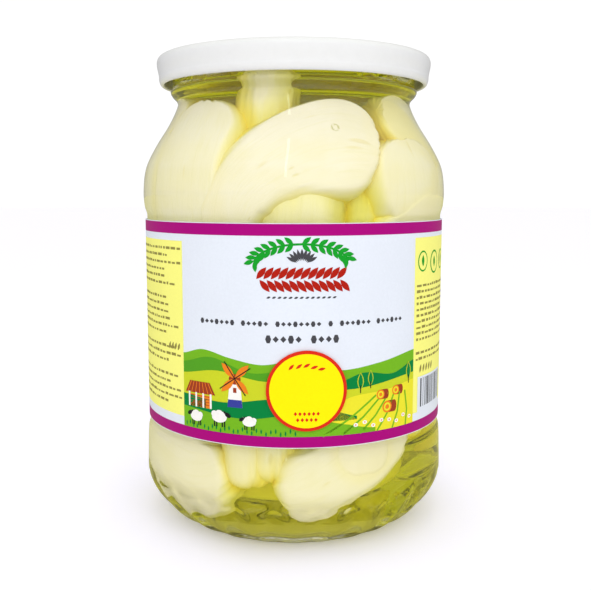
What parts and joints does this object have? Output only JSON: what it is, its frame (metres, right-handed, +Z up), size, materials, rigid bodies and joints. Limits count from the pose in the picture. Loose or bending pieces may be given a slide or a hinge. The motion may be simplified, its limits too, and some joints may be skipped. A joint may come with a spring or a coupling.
{
  "type": "jar of braided string cheese",
  "caption": "Shut clear glass jar with a white twist-off lid and a wrap-round paper label, packed with thick braided string cheese in pale brine.",
  "frame": {"origin": "on the jar's axis, on the surface that the jar stands on", "axes": "+Z up along the jar's axis; -Y is the front, where the round sticker is; +X is to the right seen from the front"},
  "size_m": [0.0952, 0.0952, 0.1437],
  "materials": {
    "clear_glass": "gloss",
    "white_lacquer": "satin",
    "printed_paper": "satin",
    "sticker_paper": "satin",
    "cheese_curd": "satin"
  },
  "bodies": {
    "root": {"glass_jar": "clear_glass", "lid": "white_lacquer", "label": "printed_paper", "price_sticker": "sticker_paper", "cheese": "cheese_curd"}
  },
  "joints": []
}
